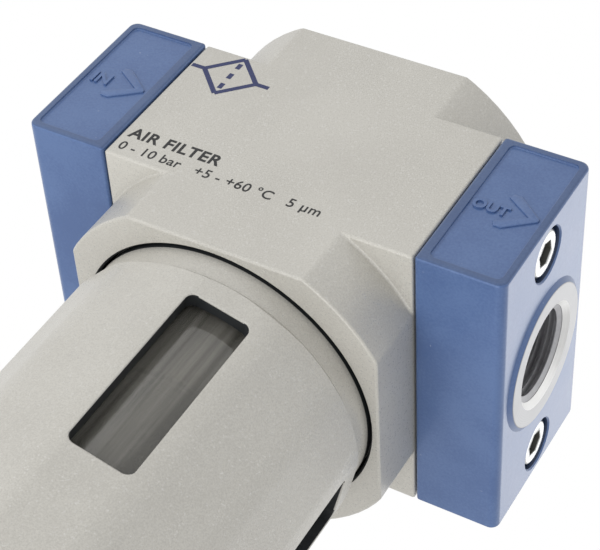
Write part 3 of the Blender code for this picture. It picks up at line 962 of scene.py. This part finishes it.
# bowl guard: a round threaded neck, a cone and twelve flats with four sight windows
guard = {
    "sides": 12,
    "ringRadius": 25.6 * mm,
    "topEdge": 0.4 * mm,
    "neckStep": 0.06 * mm,
    "neckBand": 1.5 * mm,
    "threadPitch": 3.0 * mm,
    "threadDepth": 0.35 * mm,
    "innerRadius": 24.0 * mm,
    "innerEdge": 0.3 * mm,
    "shoulderDrop": 9.3 * mm,
    "ridgeRounding": 2.4 * mm,
    "floor": 2.0 * mm,
    "bottomCorner": 6.0 * mm,
    "drainHole": 11.5 * mm,
    "drainEdge": 0.4 * mm,
    "windows": 4,
    "windowFirst": 15,
    "windowWidth": 10.7 * mm,
    "windowHeight": 32.0 * mm,
    "windowDrop": 4.7 * mm,
    "windowCorner": 1.4 * mm,
    "windowEdge": 0.32 * mm,
    "wallLean": 0.25,  # faces that turn outwards less than this are walls
}
ridge = (guardHigh.x - guardLow.x) / 2
shoulder = guardHigh.z - guard["shoulderDrop"]
windowTop = shoulder - guard["windowDrop"]
windowLow = windowTop - guard["windowHeight"]
bandTop = housingLow.z + guard["neckBand"]


def guardOutline():
    ring, edge, step = guard["ringRadius"], guard["topEdge"], guard["neckStep"]
    pitch, root = guard["threadPitch"], ring - guard["threadDepth"]
    corner, wide = guard["bottomCorner"], ridge + mm
    outline = [(0, guardHigh.z), (ring - edge, guardHigh.z), (ring, guardHigh.z - edge)]
    threadLow = bandTop + mm
    for turn in reversed(range(int((guardHigh.z - threadLow) / pitch))):
        start = threadLow + turn * pitch
        outline += [(ring, start + 0.6 * pitch), (root, start + 0.45 * pitch)]
        outline += [(root, start + 0.15 * pitch), (ring, start)]
    # a shallow band on the neck, at the collar's mouth, takes painted shade for the dark gap there
    outline += [(ring, bandTop + step), (ring - step, bandTop)]
    outline += [(ring - step, housingLow.z), (ring, housingLow.z - step)]
    outline += [(ring, shoulder), (wide, shoulder - (wide - ring)), (wide, guardLow.z + corner + mm)]
    centre = (ridge - corner, guardLow.z + corner)
    return outline + arcPoints(centre, corner, 0, -90, 12) + [(0, guardLow.z)]


def guardInside():
    inner, edge, corner = guard["innerRadius"], guard["innerEdge"], guard["bottomCorner"]
    hole, holeEdge = guard["drainHole"], guard["drainEdge"]
    top, bottom = guardHigh.z, guardLow.z
    floorTop = bottom + guard["floor"]
    inside = [(0, top + mm), (inner + edge + mm, top + mm), (inner, top - edge)]
    inside += arcPoints((inner - corner, floorTop + corner), corner, 0, -90, 10)
    inside += [(hole, floorTop), (hole, bottom + holeEdge), (hole + holeEdge + mm, bottom - mm)]
    return inside + [(0, bottom - mm)]


def windowCutter(angle):
    half = guard["windowWidth"] / 2
    bm = boxShape((-half, -ridge - 5 * mm, windowLow), (half, -guard["innerRadius"] * 0.6, windowTop))
    bevelEdges(bm, edgesAlong(bm, inward), guard["windowCorner"], 6)
    bmesh.ops.rotate(bm, cent=(0, 0, 0), matrix=Matrix.Rotation(angle, 3, "Z"), verts=bm.verts[:])
    bmesh.ops.translate(bm, vec=bowlAxis, verts=bm.verts[:])
    return endPiece(bm, "window")


def windowRims(bm):
    # the sharp edges round the windows, on the outside
    flat = ridge * math.cos(math.pi / guard["sides"]) - 10 * slack
    return [
        e for e in sharpEdges(bm, 60)
        if all(windowLow - mm < v.co.z < windowTop + mm and fromAxis(v.co) > flat for v in e.verts)
    ]


def isInPaintedShade(face):
    # painted shade: the window walls, the lining and the band on the neck
    middle = face.calc_center_median()
    away = fromAxis(middle)
    outward = Vector((middle.x - bowlAxis.x, middle.y - bowlAxis.y, 0)).normalized()
    step, inner = guard["neckStep"], guard["innerRadius"]
    if face.normal.dot(outward) < guard["wallLean"]:
        if windowLow - mm < middle.z < windowTop + mm:
            return True
        if away < inner + 5 * slack and face.normal.z > -0.5:
            return True
    return housingLow.z - step < middle.z < bandTop + step and away > inner + 10 * slack


def makeGuard():
    shell = endPiece(turnProfile(guardOutline(), 240), "guardShell")
    middle = bowlAxis + upward * (guardHigh.z + guardLow.z) / 2
    height = guardHigh.z - guardLow.z + 4 * mm
    flats = prismShape(guard["sides"], ridge, height, Matrix.Translation(middle))
    bevelEdges(flats, edgesAlong(flats, upward), guard["ridgeRounding"], 8)
    carve(shell, [endPiece(flats, "flats")], "INTERSECT")
    cutters = [endPiece(turnProfile(guardInside(), 144), "inside")]
    for i in range(guard["windows"]):
        angle = math.radians(guard["windowFirst"]) + 2 * math.pi * i / guard["windows"]
        cutters.append(windowCutter(angle))
    carve(shell, cutters)

    finishWith(shell, silverFinish, paintedShadeFinish)
    bm = reopen(shell)
    bmesh.ops.dissolve_limit(bm, angle_limit=math.radians(0.3), verts=bm.verts[:], edges=bm.edges[:])
    bevelEdges(bm, windowRims(bm), guard["windowEdge"], 3, False)
    bm.normal_update()
    for face in bm.faces:
        face.material_index = int(isInPaintedShade(face))
    close(shell, bm, 30)
    return dress(shell, None, "bowl_guard", "silver_lacquer", "bowl_guard")


makeGuard()
print("guard ready")


bowl = {
    "radius": 22.8 * mm,
    "wall": 2.4 * mm,
    "corner": 11.0 * mm,
    "flangeDrop": 5.9 * mm,
    "flangeHeight": 2.3 * mm,
    "flangeEdge": 0.3 * mm,
    "hole": 6.3 * mm,
}


def makeBowl():
    radius, wall, corner, hole = (bowl[name] for name in ("radius", "wall", "corner", "hole"))
    flangeTop = bowlHigh.z - bowl["flangeDrop"]
    flangeLow = flangeTop - bowl["flangeHeight"]
    flange = (bowlHigh.x - bowlLow.x) / 2
    rim = [
        (radius - wall, bowlHigh.z), (radius, bowlHigh.z), (radius, flangeTop), (flange, flangeTop),
        (flange, flangeLow), (radius, flangeLow),
    ]
    centre = (radius - corner, bowlLow.z + corner)
    profile = roundCorners(rim, bowl["flangeEdge"], 3) + arcPoints(centre, corner, 0, -90, 14)
    profile += [(hole, bowlLow.z), (hole, bowlLow.z + wall)]
    profile += arcPoints(centre, corner - wall, -90, 0, 14)
    piece = endPiece(turnProfile(profile, 144), "bowlShell")
    return dress(piece, bowlFinish, bowlBody, "clear_polycarbonate", "bowl")


makeBowl()


def roundExtent(node):
    low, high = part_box(node)
    return low.z, high.z, (high.x - low.x) / 2


# rings about the bowl axis: inner radius and how far their edges are rounded
rings = {
    "element": (9.0 * mm, 0.4 * mm),
    "gasket": (9.0 * mm, 0.2 * mm),
    "slip": (23.1 * mm, 0.2 * mm),
    "drainWasher": (6.3 * mm, 0.2 * mm),
    "stemWasher": (2.0 * mm, 0.2 * mm),
}


def ringPiece(name, node, kind, finish, slot, body):
    low, high, outer = roundExtent(node)
    inner, rounding = rings[kind]
    profile = roundCorners(ringProfile(inner, outer, high, low), rounding)
    return dress(endPiece(turnProfile(profile, 96), name), finish, body, slot, node)


def rubberRing(name, node, body, side=0):
    # an O-ring about the bowl axis, or about the ports when a side is given
    low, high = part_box(node)
    section = (high.x - low.x) if side else (high.z - low.z)
    outer = (high.z - low.z) / 2 if side else (high.x - low.x) / 2
    height = side * (low.x + high.x) / 2 if side else (low.z + high.z) / 2
    circle = arcPoints((outer - section / 2, height), section / 2, 0, 360, 16)[:-1]
    bm = turnProfile(circle, 96)
    if side:
        alongX(bm, side)
    return dress(endPiece(bm, name, 60), rubberFinish, body, "black_rubber", node)


ringPiece("filterElement", "filter_element", "element", sinterFinish, "sintered_plastic", headBody)
ringPiece("topGasket", "element_top_gasket", "gasket", rubberFinish, "black_rubber", headBody)
ringPiece("bottomGasket", "element_bottom_gasket", "gasket", rubberFinish, "black_rubber", headBody)
ringPiece("slipRing", "slip_ring", "slip", naturalFinish, "natural_plastic", bowlBody)
ringPiece("drainWasher", "drain_body_seal", "drainWasher", rubberFinish, "black_rubber", bowlBody)
ringPiece("stemWasher", "drain_stem_seal", "stemWasher", rubberFinish, "black_rubber", "drain_valve")
rubberRing("bowlRing", "bowl_seal", bowlBody)
rubberRing("inletRing", "inlet_plate_seal", headBody, -1)
rubberRing("outletRing", "outlet_plate_seal", headBody, 1)


baffle = {"hole": 2.8 * mm, "flat": 13.5 * mm, "thickness": 1.6 * mm, "rounding": 0.5 * mm}


def makeBaffle():
    low, high, outer = roundExtent("baffle_disc")
    hole, flat, thick = baffle["hole"], baffle["flat"], baffle["thickness"]
    profile = [
        (hole, high), (flat, high), (outer, low + thick), (outer, low),
        (flat - thick / 2, high - thick), (hole, high - thick),
    ]
    piece = endPiece(turnProfile(roundCorners(profile, baffle["rounding"]), 128), "baffleDisc")
    return dress(piece, blackFinish, headBody, "black_plastic", "baffle_disc")


stud = {"topEdge": 0.5 * mm, "threadLength": 7 * mm, "pitch": 0.8 * mm, "root": 0.84}


def makeStud():
    low, high, radius = roundExtent("element_stud")
    start, pitch = low + stud["threadLength"], stud["pitch"]
    profile = [(0, high), (radius * 0.8, high), (radius, high - stud["topEdge"]), (radius, start)]
    for turn in range(int((start - low - pitch) / pitch)):
        top = start - turn * pitch
        profile += [(radius * stud["root"], top - pitch / 2), (radius, top - pitch)]
    profile += [(radius * 0.75, low), (0, low)]
    piece = endPiece(turnProfile(profile, 48), "elementStud")
    return dress(piece, zincFinish, headBody, "zinc_plate", "element_stud")


# the nuts' corners are turned off by a cone at both ends
nuts = {"retainerHole": 2.8 * mm, "drainHole": 6.3 * mm, "trim": 0.9, "trimSlope": 1.6}


def hexNut(name, node, hole, finish, slot, body):
    low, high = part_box(node)
    half = min(high.x - low.x, high.y - low.y) / 2
    corner = half / math.cos(math.pi / 6)
    nut = endPiece(prismShape(6, corner, high.z - low.z, Matrix.Translation((low + high) / 2)), name)
    trim = (corner - half) * nuts["trim"]
    top, bottom, over = high.z + slack / 2, low.z - slack / 2, corner + 5 * slack
    narrow = corner - trim * nuts["trimSlope"]
    cone = [(0, top), (narrow, top), (over, high.z - trim)]
    cone += [(over, low.z + trim), (narrow, bottom), (0, bottom)]
    carve(nut, [endPiece(turnProfile(cone, 96), "cone")], "INTERSECT")
    carve(nut, [endPiece(turnProfile(rodProfile(hole, high.z + mm, low.z - mm), 64), "bore")])
    close(nut, reopen(nut), 25)
    return dress(nut, finish, body, slot, node)


# radius of the bore and the shank, and height of the head
drain = {
    "body": (3.0 * mm, 6.0 * mm, 2.5 * mm),
    "stem": (0, 1.7 * mm, 2.0 * mm),
    "rounding": 0.3 * mm,
}


def headedPiece(name, node, kind, steps, finish, slot, body):
    low, high, head = roundExtent(node)
    bore, shank, headHeight = drain[kind]
    under = high - headHeight
    profile = [(bore, high), (head, high), (head, under), (shank, under), (shank, low), (bore, low)]
    piece = endPiece(turnProfile(roundCorners(profile, drain["rounding"]), steps), name)
    return dress(piece, finish, body, slot, node)


makeBaffle()
makeStud()
hexNut("retainerNut", "retainer_nut", nuts["retainerHole"], zincFinish, "zinc_plate", headBody)
hexNut("drainNut", "drain_nut", nuts["drainHole"], blackFinish, "black_plastic", bowlBody)
headedPiece("drainBody", "drain_body", "body", 96, blackFinish, "black_plastic", bowlBody)
headedPiece("drainStem", "drain_stem", "stem", 64, zincFinish, "zinc_plate", "drain_valve")


knob = {
    "radius": 9.0 * mm,
    "bore": 6.3 * mm,
    "recess": 6.0 * mm,
    "webTop": 5.4 * mm,
    "web": 2.0 * mm,
    "stemHole": 2.0 * mm,
    "rounding": 0.5 * mm,
    "flutes": 24,
    "fluteRadius": 0.75 * mm,
    "weeps": 3,
    "weepRing": 3.85 * mm,
    "weepRadius": 1.2 * mm,
}


def rodsAround(name, count, first, centre, reach, radius, sides, depth):
    rods = []
    for i in range(count):
        turn = Matrix.Rotation(2 * math.pi * (i + first) / count, 4, "Z")
        place = Matrix.Translation(centre) @ turn @ Matrix.Translation((reach, 0, 0))
        rods.append(endPiece(prismShape(sides, radius, depth, place), name))
    return rods


def makeKnob():
    low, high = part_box("drain_knob")
    radius, bore, recess, hole = (knob[name] for name in ("radius", "bore", "recess", "stemHole"))
    webTop, web = high.z - knob["webTop"], knob["web"]
    profile = [
        (bore, high.z), (radius, high.z), (radius, low.z), (recess, low.z),
        (recess, webTop - web), (hole, webTop - web), (hole, webTop), (bore, webTop),
    ]
    piece = endPiece(turnProfile(roundCorners(profile, knob["rounding"]), 144), "drainKnob")
    middle = bowlAxis + upward * (low.z + high.z) / 2
    inWeb = bowlAxis + upward * (webTop - web / 2)
    flute, depth = knob["fluteRadius"], high.z - low.z + mm
    flutes = rodsAround("flute", knob["flutes"], 0.5, middle, radius + flute * 0.35, flute, 20, depth)
    weeps = rodsAround("weep", knob["weeps"], 0, inWeb, knob["weepRing"], knob["weepRadius"], 24, web * 2)
    carve(piece, flutes + weeps)
    close(piece, reopen(piece), 30)
    return dress(piece, blackFinish, "drain_knob", "black_plastic", "drain_knob")


makeKnob()
finishWith(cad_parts["swirl_vane"], blackFinish)
print("bowl and drain ready")


studio = {
    "eye": (0.12183, -0.24301, -0.19484),
    "azimuth": 29.70,
    "elevation": 37.90,
    "roll": 39.14,
    "lens": 112.5,
    "sensor": 36,
    "nearest": 0.01,
    "floorSize": 4,
    "floorDrop": 2 * mm,
    "floorShade": (0.86, 0.86, 0.86),
    "worldSeen": 1.0,
    "worldLight": 0.73,
    "aim": (0, bowlAxis.y, -0.02),
    # place, width in metres and power in watts
    "lights": {
        "key": ((-0.30, -0.60, 0.12), 0.45, 0.2),
        "low": ((-0.24, -0.42, -0.38), 0.45, 1.4),
        "edge": ((0.24, 0.34, 0.36), 0.24, 0.22),
        "under": ((0, 0, -0.9), 0.6, 4.4),
    },
}


def makeFloor():
    bm = bmesh.new()
    bmesh.ops.create_grid(bm, x_segments=1, y_segments=1, size=studio["floorSize"])
    bmesh.ops.translate(bm, vec=(0, 0, cadBox[0].z - studio["floorDrop"]), verts=bm.verts[:])
    mesh = bpy.data.meshes.new("floor")
    bm.to_mesh(mesh)
    bm.free()
    # a view from below looks through the floor, and the lights below pass it
    made = Finish("paleFloor", Base_Color=studio["floorShade"], Roughness=0.9)
    under = made.node("ShaderNodeNewGeometry", output="Backfacing")
    shadow = made.node("ShaderNodeLightPath", output="Is Shadow Ray")
    clear = made.node("ShaderNodeBsdfTransparent")
    pale = Wire(made, made.shader.outputs[0])
    passed = made.maths("MAXIMUM", under, shadow)
    mixed = made.node("ShaderNodeMixShader", {}, {0: passed, 1: pale, 2: clear})
    made.link(mixed, "Material Output", "Surface")
    mesh.materials.append(made.material)
    addObject("floor", mesh)


def softLight(name, at, size, power):
    data = bpy.data.lights.new(name, "AREA")
    data.shape = "SQUARE"
    data.size = size
    data.energy = power
    light = addObject(name, data)
    light.location = at
    light.rotation_euler = (Vector(studio["aim"]) - Vector(at)).to_track_quat("-Z", "Y").to_euler()


def makeLight():
    world = bpy.data.worlds.new("studio")
    world.use_nodes = True
    made = ShaderTree(world.node_tree)
    made.tree.nodes["Background"].inputs["Color"].default_value = (1, 1, 1, 1)
    seen = made.node("ShaderNodeLightPath", output="Is Camera Ray")
    mirrored = made.node("ShaderNodeLightPath", output="Is Glossy Ray")
    level = {
        "Value": made.maths("MAXIMUM", seen, mirrored),
        "To Min": studio["worldLight"], "To Max": studio["worldSeen"],
    }
    made.link(made.node("ShaderNodeMapRange", {}, level), "Background", "Strength")
    bpy.context.scene.world = world
    bpy.context.scene.view_settings.view_transform = "Standard"
    for name, (at, size, power) in studio["lights"].items():
        softLight(name, at, size, power)


def makeCamera():
    data = bpy.data.cameras.new("camera")
    data.lens = studio["lens"]
    data.sensor_width = studio["sensor"]
    data.clip_start = studio["nearest"]
    camera = addObject("camera", data)
    turn = Matrix.Rotation(math.radians(studio["azimuth"]), 4, "Z")
    tilt = Matrix.Rotation(math.radians(90 + studio["elevation"]), 4, "X")
    roll = Matrix.Rotation(math.radians(studio["roll"]), 4, "Z")
    camera.matrix_world = Matrix.Translation(studio["eye"]) @ turn @ tilt @ roll
    bpy.context.scene.camera = camera


makeFloor()
makeLight()
makeCamera()
print("studio ready")
